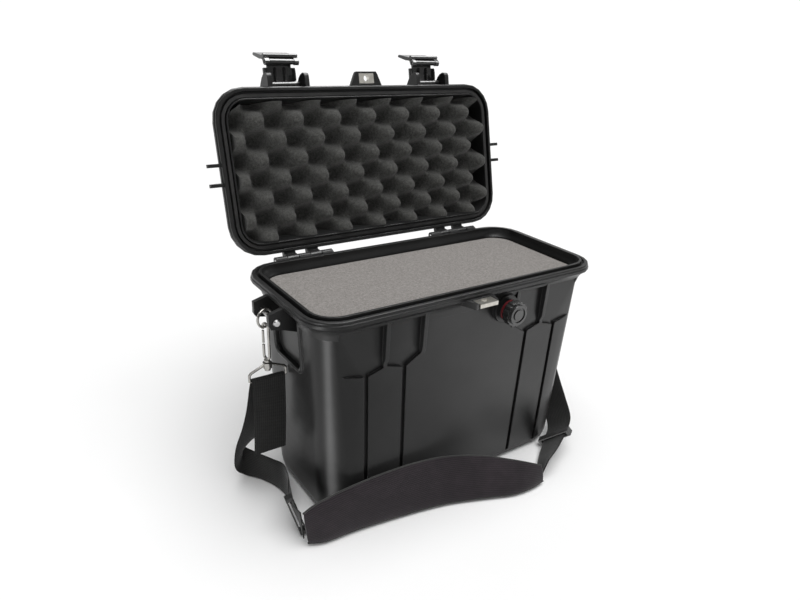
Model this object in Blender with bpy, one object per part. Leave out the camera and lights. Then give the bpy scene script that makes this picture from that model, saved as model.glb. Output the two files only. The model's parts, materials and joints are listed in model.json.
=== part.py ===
"""Hard equipment case with a hinged lid, two double-throw latches, foam and a padded shoulder strap.

Lengths below are millimetres; every mesh is made in metres. +X is the case's right as seen from the
latch side, -Y is the latch side, +Z is up, and the origin is the centre of the case's underside.
Lid parts are laid out as if the lid were shut, then hang from an empty on the hinge axis.
"""

import math

import bmesh
import bpy
from mathutils import Matrix, Vector

MM = 0.001

# Case body
RIM_X, RIM_Y, RIM_RADIUS = 198, 96, 38
RIM_TOP = 260
SOLE_X, SOLE_Y, SOLE_TOP = 176, 81, 16
WALL_X, WALL_Y, WALL_TOP = 186, 86, 234
LINING_X, LINING_Y, LINING_TOP = 180, 79, 238
LINING_SOLE_X, LINING_FOOT_Y, LINING_FOOT_Z = 169.5, 74, 14
FLOOR_TOP = 4.5
MOUTH = (182, 80.4, 27)
DRAFT_X = math.atan2(WALL_X - SOLE_X, WALL_TOP - SOLE_TOP)
DRAFT_Y = math.atan2(WALL_Y - SOLE_Y, WALL_TOP - SOLE_TOP)
BAY_DEPTH = 3.4
GAP = 0.4

# Lid
LID_BOTTOM, LID_TOP, LID_CEILING = 260.4, 309, 304
HINGE_Y, HINGE_Z = 103.6, 256.6
LID_OPENING = math.radians(102.7)
HINGE_CENTRE_X, HINGE_WIDTH, KNUCKLES = 114, 76, 5
KNUCKLE_RADIUS, HINGE_PIN_RADIUS = 4.6, 1.7

# Latches
LATCH_X, ARM_HALF_WIDTH, LEVER_HALF_WIDTH = 103.5, 19.9, 21.5
ARM_Y, ARM_Z = -99, 277
FOOT_Y, FOOT_Z = -100.3, 251
EYE_RADIUS, EAR_OFFSET = 3.2, 15
ARM_SWING = math.radians(88)
LEVER_TILT = math.radians(53)
LATCH_PIN_RADIUS = 1.5

# Handle
HANDLE_Y, HANDLE_Z = -18, 317.8
HANDLE_HALF_WIDTH, HANDLE_REACH = 66, 42
HANDLE_HANG = math.radians(12.7)
GRIP_HALF_LENGTH, GRIP_RADIUS, GRIP_BORE, GRIP_GROOVE_PITCH = 46, 8.2, 4.7, 9

# Purge valve
VALVE_X, VALVE_Z = 48, 227

# Strap hardware and strap
LUG_X, LUG_Z, LUG_Y = 206, 239, 19.5
HANGER_Y = 8
RING_RADIUS, RING_WIRE = 10, 1.4
RING_TURN = math.radians(20)
HOOK_TOP, HOOK_BOTTOM, HOOK_HALF_WIDTH, HOOK_WIRE = 226.2, 184, 4.2, 1.6
LOOP_BAR_Z, LOOP_HALF_WIDTH, LOOP_WIRE = 160.5, 21, 1.6
WEBBING_WIDTH, WEBBING_THICKNESS = 38, 1.6
PAD_THICKNESS = 8

ARC_STEPS = 5
ROUND_SIDES = 20


# Scene and material helpers

def clear_scene():
    for obj in list(bpy.data.objects):
        bpy.data.objects.remove(obj, do_unlink=True)


def new_collection(name, hidden=False):
    collection = bpy.data.collections.new(name)
    collection.hide_render = hidden
    bpy.context.scene.collection.children.link(collection)
    return collection


def new_material(name, colour, roughness, metallic=0.0):
    material = bpy.data.materials.new(name)
    material.use_nodes = True
    shader = material.node_tree.nodes["Principled BSDF"]
    shader.inputs["Base Color"].default_value = (*colour, 1.0)
    shader.inputs["Roughness"].default_value = roughness
    shader.inputs["Metallic"].default_value = metallic
    material.diffuse_color = (*colour, 1.0)
    return material


clear_scene()
CASE = new_collection("equipment_case")
TOOLS = new_collection("cutters", hidden=True)

SHELL_BLACK = (0.025, 0.025, 0.026)
LATCH_BLACK = (0.018, 0.018, 0.019)
RUBBER_BLACK = (0.02, 0.02, 0.02)
FOAM_GREY = (0.34, 0.32, 0.30)
FOAM_CHARCOAL = (0.10, 0.10, 0.105)
STEEL = (0.62, 0.61, 0.58)
VALVE_RED = (0.55, 0.05, 0.06)
WEBBING_BLACK = (0.022, 0.024, 0.022)
PAD_CHARCOAL = (0.05, 0.042, 0.05)


# Mesh helpers

def to_object(name, bm, colour=SHELL_BLACK, roughness=0.5, metallic=0.0):
    bmesh.ops.recalc_face_normals(bm, faces=bm.faces)
    mesh = bpy.data.meshes.new(name)
    bm.to_mesh(mesh)
    bm.free()
    mesh.shade_smooth()
    mesh.set_sharp_from_angle(angle=math.radians(35))
    mesh.materials.append(new_material(name, colour, roughness, metallic))
    obj = bpy.data.objects.new(name, mesh)
    CASE.objects.link(obj)
    return obj


def points_mm(points):
    return [Vector(point) * MM for point in points]


def rounded_rectangle(half_x, half_y, radius):
    """Corner arcs of a rounded rectangle, anticlockwise from +X."""
    outline = []
    for corner, (sign_x, sign_y) in enumerate(((1, 1), (-1, 1), (-1, -1), (1, -1))):
        for step in range(ARC_STEPS + 1):
            angle = math.pi / 2 * (corner + step / ARC_STEPS)
            x = sign_x * (half_x - radius) + radius * math.cos(angle)
            y = sign_y * (half_y - radius) + radius * math.sin(angle)
            outline.append((x, y))
    return outline


def loft(name, loops, closed=False, **look):
    """A solid through loops of equal length; closed joins the last loop to the first."""
    bm = bmesh.new()
    rows = [[bm.verts.new(point) for point in points_mm(loop)] for loop in loops]
    pairs = list(zip(rows, rows[1:]))
    if closed:
        pairs.append((rows[-1], rows[0]))
    for low, high in pairs:
        for i in range(len(low)):
            j = (i + 1) % len(low)
            bm.faces.new((low[i], low[j], high[j], high[i]))
    if not closed:
        bm.faces.new(rows[0])
        bm.faces.new(rows[-1])
    return to_object(name, bm, **look)


def ring_loft(name, sections, closed=False, **look):
    """Rounded rectangles (half_x, half_y, radius, z) stacked into a tub, a block or a frame."""
    loops = []
    for half_x, half_y, radius, z in sections:
        loops.append([(x, y, z) for x, y in rounded_rectangle(half_x, half_y, radius)])
    return loft(name, loops, closed, **look)


def prism(name, outline, axis, low, high, **look):
    """A flat outline in the plane across axis, carried from low to high along it."""
    place = {
        "X": lambda a, b, along: (along, a, b),
        "Y": lambda a, b, along: (a, along, b),
        "Z": lambda a, b, along: (a, b, along),
    }[axis]
    bm = bmesh.new()
    face = bm.faces.new([bm.verts.new(p) for p in points_mm(place(a, b, low) for a, b in outline)])
    grown = bmesh.ops.extrude_face_region(bm, geom=[face])["geom"]
    moved = [item for item in grown if isinstance(item, bmesh.types.BMVert)]
    offset = Vector(place(0, 0, high - low)) * MM
    bmesh.ops.translate(bm, verts=moved, vec=offset)
    return to_object(name, bm, **look)


def box(name, low, high, **look):
    bm = bmesh.new()
    bmesh.ops.create_cube(bm, size=1)
    size = (Vector(high) - Vector(low)) * MM
    bmesh.ops.scale(bm, vec=size, verts=bm.verts)
    bmesh.ops.translate(bm, vec=(Vector(high) + Vector(low)) * MM / 2, verts=bm.verts)
    return to_object(name, bm, **look)


def rod(name, start, end, radius, end_radius=None, sides=ROUND_SIDES, **look):
    """A cylinder or cone between two points."""
    start, end = Vector(start) * MM, Vector(end) * MM
    along = end - start
    turn = along.to_track_quat("Z", "Y").to_matrix().to_4x4()
    bm = bmesh.new()
    bmesh.ops.create_cone(
        bm, cap_ends=True, segments=sides, radius1=radius * MM,
        radius2=(radius if end_radius is None else end_radius) * MM, depth=along.length,
        matrix=Matrix.Translation((start + end) / 2) @ turn,
    )
    return to_object(name, bm, **look)


def tube(name, path, radius, cyclic=False, resolution=2, **look):
    """A round wire along a path of points, as a closed mesh."""
    curve = bpy.data.curves.new(name, "CURVE")
    curve.dimensions = "3D"
    curve.bevel_depth = radius * MM
    curve.bevel_resolution = resolution
    curve.use_fill_caps = True
    spline = curve.splines.new("POLY")
    spline.points.add(len(path) - 1)
    spline.use_cyclic_u = cyclic
    for point, place in zip(spline.points, points_mm(path)):
        point.co = (*place, 1)
    guide = bpy.data.objects.new(name, curve)
    CASE.objects.link(guide)
    graph = bpy.context.evaluated_depsgraph_get()
    bm = bmesh.new()
    bm.from_mesh(bpy.data.meshes.new_from_object(guide.evaluated_get(graph)))
    bmesh.ops.remove_doubles(bm, verts=bm.verts, dist=0.01 * MM)
    bpy.data.objects.remove(guide, do_unlink=True)
    return to_object(name, bm, **look)


def arc(centre, radius, start_degrees, end_degrees, steps):
    points = []
    for step in range(steps + 1):
        angle = math.radians(start_degrees + (end_degrees - start_degrees) * step / steps)
        points.append((centre[0] + radius * math.cos(angle), centre[1] + radius * math.sin(angle)))
    return points


def use_tool(target, tool, operation):
    CASE.objects.unlink(tool)
    TOOLS.objects.link(tool)
    tool.hide_render = True
    tool.display_type = "WIRE"
    modifier = target.modifiers.new(tool.name, "BOOLEAN")
    modifier.operation = operation
    modifier.object = tool


def add(target, *tools):
    for tool in tools:
        use_tool(target, tool, "UNION")


def cut(target, *tools):
    for tool in tools:
        use_tool(target, tool, "DIFFERENCE")


def side_name(side):
    return "left" if side < 0 else "right"


# Hinges between the two pivoting groups and the case

def new_pivot(name, place, turn, parent=None, parent_place=None):
    """An empty on a joint axis, turned about X; place is where the axis is with nothing turned."""
    pivot = bpy.data.objects.new(name, None)
    pivot.empty_display_size = 0.01
    CASE.objects.link(pivot)
    pivot.location = Vector(place) * MM
    pivot.rotation_euler = (turn, 0, 0)
    if parent is not None:
        pivot.parent = parent
        pivot.matrix_parent_inverse = Matrix.Translation(-Vector(parent_place) * MM)
    return pivot


def hang_on(pivot, place, *pieces):
    """Pieces modelled with the pivot unturned follow it; place is the pivot's unturned position."""
    for piece in pieces:
        piece.parent = pivot
        piece.matrix_parent_inverse = Matrix.Translation(-Vector(place) * MM)


HINGE_PLACE = (0, HINGE_Y, HINGE_Z)
LID_PIVOT = new_pivot("lid_hinge_axis", HINGE_PLACE, -LID_OPENING)


# Case body

def lining_section(z, clearance=0.0):
    """Half sizes and corner radius of the hollow at height z, less a clearance."""
    share = (z - LINING_FOOT_Z) / (LINING_TOP - LINING_FOOT_Z)
    half_x = LINING_SOLE_X + share * (LINING_X - LINING_SOLE_X) - clearance
    half_y = LINING_FOOT_Y + share * (LINING_Y - LINING_FOOT_Y) - clearance
    return half_x, half_y, 32 - 6 * share - clearance, z


def rim_section(inset, z):
    return RIM_X - inset, RIM_Y - inset, RIM_RADIUS - inset, z


def base_tub():
    outside = [
        (165, 69.5, 27, 0), (171, 75.5, 33, 2.5), (175, 79.5, 36.5, 8), (SOLE_X, SOLE_Y, 37, SOLE_TOP),
        (WALL_X, WALL_Y, 33, WALL_TOP), (WALL_X + 0.9, WALL_Y + 0.9, 33.5, WALL_TOP + 1.4),
    ]
    flange = [
        (188.6, 88, 34, 241), (191, 90, 35, 246), (194, 92.6, 36.5, 249.6), rim_section(0.8, 251.6),
        rim_section(0, 252.6), rim_section(0, 256), rim_section(1, 257), rim_section(1, 259),
        rim_section(1.8, RIM_TOP),
    ]
    gasket_land = [rim_section(5.6, RIM_TOP), rim_section(6, 257), rim_section(9, 257)]
    tongue = [rim_section(9.5, 262), rim_section(12.5, 262), rim_section(12.6, 257)]
    inside = [
        (183.6, 81.7, 26, 252.5), (*MOUTH, 250), (*MOUTH, 240),
        lining_section(LINING_TOP), lining_section(LINING_FOOT_Z),
        (165, 69.5, 30, 7), (158, 62.5, 25, FLOOR_TOP),
    ]
    return ring_loft("base_shell", outside + flange + gasket_land + tongue + inside)


def bay_outlines():
    """The two recesses beside each upper rib, each running down into a groove (x, z)."""
    latch_bay = [(68, 244), (68, 198), (86, 187), (82, 11), (87.4, 11), (91.4, 187), (111, 193), (111, 244)]
    corner_bay = [
        (115.5, 244), (115.5, 192), (133.5, 186.5), (129.5, 11),
        (134.9, 11), (138.9, 187), (168, 193), (168, 244),
    ]
    return latch_bay, corner_bay


def bay_cutter(name, outline, side, facing):
    """A recess parallel to the drafted wall on the front (facing -1) or back (facing 1)."""
    tool = prism(name, [(side * x, z) for x, z in outline], "Y", 0, facing * 30)
    tool.rotation_euler = (-facing * DRAFT_Y, 0, 0)
    wall_y_at_floor = SOLE_Y - math.tan(DRAFT_Y) * SOLE_TOP
    tool.location = (0, facing * (wall_y_at_floor - BAY_DEPTH) * MM, 0)
    return tool


def upper_rib(name, inner_x, side, facing):
    outline = [(facing * y, z) for y, z in ((80, 194.5), (84.5, 195.5), (88, 203), (90.5, 249), (82, 250))]
    low, high = sorted((side * inner_x, side * (inner_x + 4.5)))
    return prism(name, outline, "X", low, high)


def side_recess(side):
    """The hollow under the strap lugs, in the end wall."""
    outline = [(-30, 188), (-24, 182), (24, 182), (30, 188), (30, 243.5), (-30, 243.5)]
    low, high = sorted((0, side * 30))
    tool = prism(f"{side_name(side)}_side_recess", outline, "X", low, high)
    tool.rotation_euler = (0, side * DRAFT_X, 0)
    wall_x_at_floor = SOLE_X - math.tan(DRAFT_X) * SOLE_TOP
    tool.location = (side * (wall_x_at_floor - BAY_DEPTH) * MM, 0, 0)
    return tool


def side_bead(side):
    """A rounded bead round the foot and flanks of the recess."""
    path = []
    foot = ((-33, 243), (-33, 188), (-31, 182.5), (-26, 179), (26, 179), (31, 182.5), (33, 188), (33, 243))
    for y, z in foot:
        path.append((side * (SOLE_X + (z - SOLE_TOP) * math.tan(DRAFT_X) - 0.8), y, z))
    return tube(f"{side_name(side)}_side_bead", path, 3.4)


def strap_lug(side, end):
    """One ear of the strap bracket, standing off the end wall under the flange."""
    outline = [
        (181.2, 223), (198, 229), (212, 232), (214, 236), (214, 249), (198, 253.5), (186, 253.5), (185, 241),
        (182.3, 237),
    ]
    low, high = sorted((end * (LUG_Y - 2.5), end * (LUG_Y + 2.5)))
    name = f"{side_name(side)}_lug_{'front' if end < 0 else 'rear'}"
    return prism(name, [(side * x, z) for x, z in outline], "Y", low, high)


def knuckle_span(centre, index):
    width = HINGE_WIDTH / KNUCKLES
    start = centre - HINGE_WIDTH / 2 + index * width
    return start + GAP / 2, start + width - GAP / 2


def hinge_knuckle(name, centre, index, web):
    low, high = knuckle_span(centre, index)
    barrel = rod(f"{name}_barrel", (low, HINGE_Y, HINGE_Z), (high, HINGE_Y, HINGE_Z), KNUCKLE_RADIUS)
    return barrel, prism(f"{name}_web", web, "X", low, high)


def hinge_knuckles(target, indices, web):
    for side in (-1, 1):
        for index in indices:
            name = f"{target.name}_{side_name(side)}_knuckle_{index}"
            add(target, *hinge_knuckle(name, side * HINGE_CENTRE_X, index, web))
        reach = HINGE_WIDTH / 2 + 5
        ends = [(side * HINGE_CENTRE_X + shift, HINGE_Y, HINGE_Z) for shift in (-reach, reach)]
        cut(target, rod(f"{target.name}_{side_name(side)}_pin_hole", *ends, HINGE_PIN_RADIUS + 0.35))


def padlock_hole(name, low, high):
    return rod(name, (0.5, -104, low), (0.5, -104, high), 4)


def make_base_shell():
    shell = base_tub()
    for facing in (-1, 1):
        face = "front" if facing < 0 else "back"
        for side in (-1, 1):
            for number, outline in enumerate(bay_outlines()):
                cut(shell, bay_cutter(f"{face}_{side_name(side)}_bay_{number}", outline, side, facing))
            for number, inner_x in enumerate((63.5, 111)):
                add(shell, upper_rib(f"{face}_{side_name(side)}_rib_{number}", inner_x, side, facing))
    for side in (-1, 1):
        add(shell, side_bead(side))
        cut(shell, side_recess(side))
        add(shell, strap_lug(side, -1), strap_lug(side, 1))
        hole_ends = [(side * LUG_X, y, LUG_Z) for y in (-30, 30)]
        cut(shell, rod(f"{side_name(side)}_lug_hole", *hole_ends, 2.3))
    web = [(92, 247.5), (92, 257), (99, 259.5), (103.6, 260.8), (108, 257), (104, 250.5), (97, 247)]
    hinge_knuckles(shell, (0, 2, 4), web)
    add(shell, valve_part("valve_boss", -81.5, -91, 17.5))
    cut(shell, valve_part("valve_hole", -66, -100, 8.4))
    tab = [(-22, -88), (22, -88), (16, -108), (14, -111), (-13, -111), (-15, -108)]
    add(shell, prism("base_padlock_tab", tab, "Z", 246, 253.3))
    cut(shell, box("base_padlock_notch", (-12.4, -120, 240), (13.4, -98.6, 260)))
    return shell


def make_base_padlock_plate():
    look = {"colour": STEEL, "roughness": 0.3, "metallic": 1}
    plate = box("base_padlock_plate", (-12, -112.5, 248.5), (13, -99, 253.1), **look)
    cut(plate, padlock_hole("base_padlock_hole", 240, 256))
    return plate


def make_foam():
    """Floor pad, lower block and upper block; the upper block's crown fills the wider mouth."""
    look = {"colour": FOAM_GREY, "roughness": 0.95}
    floor_pad = [
        (156.5, 61, 24, FLOOR_TOP + GAP), (164, 68.5, 29, 7.5),
        lining_section(14, 0.7), lining_section(25, 0.7),
    ]
    ring_loft("foam_floor_pad", floor_pad, **look)
    ring_loft("foam_lower_block", [lining_section(25.4, 0.7), lining_section(136, 0.7)], **look)
    upper = [
        lining_section(136.4, 0.7), lining_section(LINING_TOP, 0.7),
        (181.3, 79.7, 26.3, 241), (181.3, 79.7, 26.3, 246.5), (179.8, 78.2, 25, 248),
    ]
    ring_loft("foam_upper_block", upper, **look)


def make_hinge_pins():
    for side in (-1, 1):
        ends = [(side * HINGE_CENTRE_X + shift, HINGE_Y, HINGE_Z) for shift in (-37.6, 37.6)]
        rod(f"hinge_pin_{side_name(side)}", *ends, HINGE_PIN_RADIUS, colour=STEEL, roughness=0.3, metallic=1)


# Purge valve

def valve_part(name, near, far, radius, **look):
    return rod(name, (VALVE_X, near, VALVE_Z), (VALVE_X, far, VALVE_Z), radius, sides=28, **look)


def knurled_outline(radius, depth, lobes):
    outline = []
    for step in range(lobes * 4):
        angle = 2 * math.pi * step / (lobes * 4)
        reach = radius - (depth if step % 4 >= 2 else 0)
        outline.append((VALVE_X + reach * math.cos(angle), VALVE_Z + reach * math.sin(angle)))
    return outline


def make_valve():
    body = valve_part("valve_body", -80.2, -99.3, 8, colour=LATCH_BLACK, roughness=0.4)
    add(body, valve_part("valve_body_flange", -91.6, -94.2, 12.2))
    ring = valve_part("valve_ring", -94.8, -97.2, 13.3, colour=VALVE_RED, roughness=0.4)
    cut(ring, valve_part("valve_ring_bore", -85, -105, 8.4))
    outline = knurled_outline(15.2, 0.9, 16)
    knob = prism("valve_knob", outline, "Y", -99.7, -108.5, colour=LATCH_BLACK, roughness=0.35)
    add(knob, valve_part("valve_knob_cap", -108, -111.5, 12))
    groove = valve_part("valve_knob_groove", -110.3, -114, 9.2)
    cut(groove, valve_part("valve_knob_island", -104, -119, 6.5))
    cut(knob, groove)


# Lid

def make_lid_shell():
    outside = [
        (170, 68, 22, LID_TOP), (177, 75, 27, 307.6), (182, 80, 30, 303.5), (185, 83, 31, 296),
        (188, 86, 33, 274), rim_section(3, 272), rim_section(0, 270), rim_section(0, 266),
        rim_section(1, 265), rim_section(1, 261.4), rim_section(1.8, LID_BOTTOM),
    ]
    groove = [
        rim_section(5, LID_BOTTOM), rim_section(5, 266.6),
        rim_section(13, 266.6), rim_section(13, LID_BOTTOM),
    ]
    inside = [
        rim_section(14.6, LID_BOTTOM), (182.4, 80.6, 23, 263), (178, 76.5, 21.5, 299),
        (172, 70, 18, LID_CEILING),
    ]
    shell = ring_loft("lid_shell", outside + groove + inside)
    for side in (-1, 1):
        add(shell, *latch_guards(side), *lid_fins(side), handle_lug(side))
        cut(shell, *pin_holes(side))
    web = [(93.5, 263), (93.5, 269), (100, 269), (106.5, 260), (105, 255), (99.4, 256), (97.8, 262.5)]
    hinge_knuckles(shell, (1, 3), web)
    tab = [(-23, -93), (23, -93), (17, -109), (15, -112), (-13, -112), (-15, -109)]
    add(shell, prism("lid_padlock_tab", tab, "Z", 261.2, 267))
    cut(shell, box("lid_padlock_window", (-10.4, -109.9, 255), (11.4, -97.6, 275)))
    return shell


def latch_guards(side):
    """The two cheeks that the latch pin spans."""
    profile = [
        (-91, 262), (-107, 262), (-110.5, 264), (-111.5, 268), (-110, 274), (-107, 279), (-101.5, 284),
        (-95, 289), (-82, 293), (-83, 269), (-91, 268),
    ]
    guards = []
    for label, low, high in (("inner", 77.5, 83), ("outer", 124, 130)):
        span = sorted((side * low, side * high))
        guards.append(prism(f"{side_name(side)}_{label}_guard", profile, "X", *span))
    return guards


def lid_fins(side):
    outline = [
        (193, 263), (212, 263), (212.5, 268), (206, 280), (196, 287), (184, 289), (185, 269), (193, 268),
    ]
    fins = []
    for number, y in enumerate((-12, 10)):
        flipped = [(side * x, z) for x, z in outline]
        fins.append(prism(f"{side_name(side)}_fin_{number}", flipped, "Y", y - 2, y + 2))
    return fins


def handle_lug(side):
    outline = [(-31, 305), (-26, 319), (-22, 323.5), (-14, 323.5), (-10, 319), (-5, 305)]
    low, high = sorted((side * 74.5, side * 82))
    return prism(f"{side_name(side)}_handle_lug", outline, "X", low, high)


def pin_holes(side):
    latch_ends = [(side * x, ARM_Y, ARM_Z) for x in (79.5, 127.5)]
    handle_ends = [(side * x, HANDLE_Y, HANDLE_Z) for x in (60, 79.5)]
    return (
        rod(f"{side_name(side)}_latch_pin_hole", *latch_ends, LATCH_PIN_RADIUS + 0.35),
        rod(f"{side_name(side)}_handle_pin_hole", *handle_ends, 2.35),
    )


def make_lid_seal():
    frame = [
        (190, 88, 30, 266.2), (190.4, 88.4, 30.4, 264.4), (190, 88, 30, 262.6), (186.2, 84.2, 26.2, 262.6),
        (185.8, 83.8, 25.8, 264.4), (186.2, 84.2, 26.2, 266.2),
    ]
    return ring_loft("lid_seal", frame, closed=True, colour=RUBBER_BLACK, roughness=0.6)


def make_lid_foam():
    """A sheet of staggered rounded peaks, its flat side glued to the lid's ceiling."""
    half_x, half_y, columns, rows = 182, 80, 44, 22
    flat_z, valley_z, peak_z = 303.6, 286, 250.5
    pitch_x, pitch_y, first_x, first_y = 49.9, 45, -176, -81
    bm = bmesh.new()
    bmesh.ops.create_grid(bm, x_segments=columns, y_segments=rows, size=0.5)
    for vert in bm.verts:
        x, y = vert.co.x * 2 * half_x, vert.co.y * 2 * half_y
        across, along = 2 * math.pi * (x - first_x) / pitch_x, 2 * math.pi * (y - first_y) / pitch_y
        rise = 0.5 + 0.5 * math.cos(across) * math.cos(along)
        vert.co = Vector((x, y, valley_z + (peak_z - valley_z) * rise)) * MM
    grown = bmesh.ops.extrude_face_region(bm, geom=bm.faces[:])["geom"]
    for item in grown:
        if isinstance(item, bmesh.types.BMVert):
            item.co.z = flat_z * MM
    foam = to_object("lid_foam", bm, colour=FOAM_CHARCOAL, roughness=0.95)
    lid_hollow = [
        (180.4, 78.8, 22, 245), (180.2, 78.6, 21.5, 262), (176.8, 75.3, 20.5, 299),
        (171, 69, 17.5, 303.5), (171, 69, 17.5, 310),
    ]
    use_tool(foam, ring_loft("lid_foam_outline", lid_hollow), "INTERSECT")
    return foam


def make_lid_padlock_plate():
    look = {"colour": STEEL, "roughness": 0.3, "metallic": 1}
    plate = box("lid_padlock_plate", (-10, -109.5, 260.9), (11, -98, 267.3), **look)
    cut(plate, padlock_hole("lid_padlock_hole", 255, 275))
    return plate


def make_lid_pins(side):
    look = {"colour": STEEL, "roughness": 0.3, "metallic": 1}
    latch_ends = [(side * x, ARM_Y, ARM_Z) for x in (80, 127)]
    handle_ends = [(side * x, HANDLE_Y, HANDLE_Z) for x in (62.5, 79)]
    latch_pin = rod(f"latch_pin_{side_name(side)}", *latch_ends, LATCH_PIN_RADIUS, **look)
    handle_pin = rod(f"handle_pin_{side_name(side)}", *handle_ends, 2, **look)
    return latch_pin, handle_pin


# Latches: laid out shut, then the arm swings out by ARM_SWING and the lever tips by LEVER_TILT

def latch_box(name, side, from_centre, to_centre, outline):
    """A YZ outline between two offsets along X from the latch's middle."""
    low, high = sorted((side * LATCH_X + from_centre, side * LATCH_X + to_centre))
    return prism(name, outline, "X", low, high, colour=LATCH_BLACK, roughness=0.35)


def pin_line(side, half, y, z):
    return (side * LATCH_X - half, y, z), (side * LATCH_X + half, y, z)


def make_latch_arm(side):
    """A shallow channel hung from its upper eye; its foot is narrowed for the lever's ears."""
    name = side_name(side)
    outer, inner = -111.3, -108.2
    profile = [
        (-97, 280), (-103, 281), (-108.5, 280.6), (outer, 278), (outer, 251.5), (-109.6, 249), (-102, 248.8),
        (-101.5, 253.2), (inner, 253.6), (inner, 274.5), (-104, 274.5), (-98, 274),
    ]
    arm = latch_box(f"latch_arm_{name}", side, -ARM_HALF_WIDTH, ARM_HALF_WIDTH, profile)
    add(arm, rod(f"arm_eye_{name}", *pin_line(side, ARM_HALF_WIDTH, ARM_Y, ARM_Z), 3.7))
    add(arm, rod(f"arm_foot_{name}", *pin_line(side, ARM_HALF_WIDTH, FOOT_Y, FOOT_Z), EYE_RADIUS))
    rib = [(-109, 256), (-106, 257.5), (-105, 262), (-105, 272), (-102, 275.5), (-109, 275.5)]
    for number, offset in enumerate((-18.2, -6, 6, 18.2)):
        add(arm, latch_box(f"arm_rib_{name}_{number}", side, offset - 1, offset + 1, rib))
    for end in (-1, 1):
        outline = [(-120, 240), (-90, 240), (-90, 257), (-120, 257)]
        cut(arm, latch_box(f"arm_relief_{name}_{end}", side, end * EAR_OFFSET, end * 30, outline))
    cut(arm, rod(f"arm_eye_bore_{name}", *pin_line(side, 26, ARM_Y, ARM_Z), LATCH_PIN_RADIUS + 0.3))
    cut(arm, rod(f"arm_foot_bore_{name}", *pin_line(side, 26, FOOT_Y, FOOT_Z), LATCH_PIN_RADIUS + 0.3))
    return arm


def make_lever_pin(side):
    ends = pin_line(side, 20, FOOT_Y, FOOT_Z)
    look = {"colour": STEEL, "roughness": 0.3, "metallic": 1}
    return rod(f"lever_pin_{side_name(side)}", *ends, LATCH_PIN_RADIUS, **look)


def around_foot(outline):
    return [(FOOT_Y + y, FOOT_Z + z) for y, z in outline]


def make_latch_lever(side):
    """The finger plate, with ears on the foot pin and a nose that catches under the base flange."""
    name = side_name(side)
    body = [
        (6.2, -4.6), (6.7, -5.8), (6, -7.6), (2.2, -9.6), (0.6, -14), (-7, -32.2), (-9.6, -33.2),
        (-10.4, -31.8), (-4.4, -13.6), (-2.1, -9.4), (-0.2, -5.2), (3, -4),
    ]
    ear = [
        (-0.2, -8), (-3.6, -2), (-3.9, 1), (-2.4, 3.6), (0.2, 4), (2.7, 2.9), (3.6, 0), (3.5, -8),
    ]
    lever = latch_box(f"latch_lever_{name}", side, -LEVER_HALF_WIDTH, LEVER_HALF_WIDTH, around_foot(body))
    for end in (-1, 1):
        span = (end * (EAR_OFFSET + 0.5), end * (LEVER_HALF_WIDTH - 0.4))
        add(lever, latch_box(f"lever_ear_{name}_{end}", side, *span, around_foot(ear)))
    cut(lever, rod(f"lever_bore_{name}", *pin_line(side, 30, FOOT_Y, FOOT_Z), LATCH_PIN_RADIUS + 0.3))
    return lever


def make_latch(side):
    arm_place = (side * LATCH_X, ARM_Y, ARM_Z)
    foot_place = (side * LATCH_X, FOOT_Y, FOOT_Z)
    name = side_name(side)
    arm_pivot = new_pivot(f"latch_arm_axis_{name}", arm_place, -ARM_SWING, LID_PIVOT, HINGE_PLACE)
    lever_pivot = new_pivot(f"latch_lever_axis_{name}", foot_place, -LEVER_TILT, arm_pivot, arm_place)
    hang_on(arm_pivot, arm_place, make_latch_arm(side), make_lever_pin(side))
    hang_on(lever_pivot, foot_place, make_latch_lever(side))


# Carrying handle: laid out lying on the lid, then lifted to where it hangs

def grip_profile():
    """(x, radius) along the moulded grip: a bore just clear of the bar, and finger grooves outside."""
    outside = [(-GRIP_HALF_LENGTH, 6.4), (-GRIP_HALF_LENGTH + 1.2, GRIP_RADIUS)]
    for groove in range(-4, 5):
        x = groove * GRIP_GROOVE_PITCH
        floor = GRIP_RADIUS - 0.8
        outside += [(x - 1.6, GRIP_RADIUS), (x - 0.8, floor), (x + 0.8, floor), (x + 1.6, GRIP_RADIUS)]
    outside += [(GRIP_HALF_LENGTH - 1.2, GRIP_RADIUS), (GRIP_HALF_LENGTH, 6.4)]
    return outside + [(GRIP_HALF_LENGTH, GRIP_BORE), (-GRIP_HALF_LENGTH, GRIP_BORE)]


def turned_sleeve(name, profile, centre, sides=24, **look):
    """A closed profile (x, radius) swept round a line through centre along X."""
    loops = []
    for x, radius in profile:
        ring = arc((0, 0), radius, 0, 360, sides)[:-1]
        loops.append([(centre[0] + x, centre[1] + a, centre[2] + b) for a, b in ring])
    return loft(name, loops, closed=True, **look)


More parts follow.
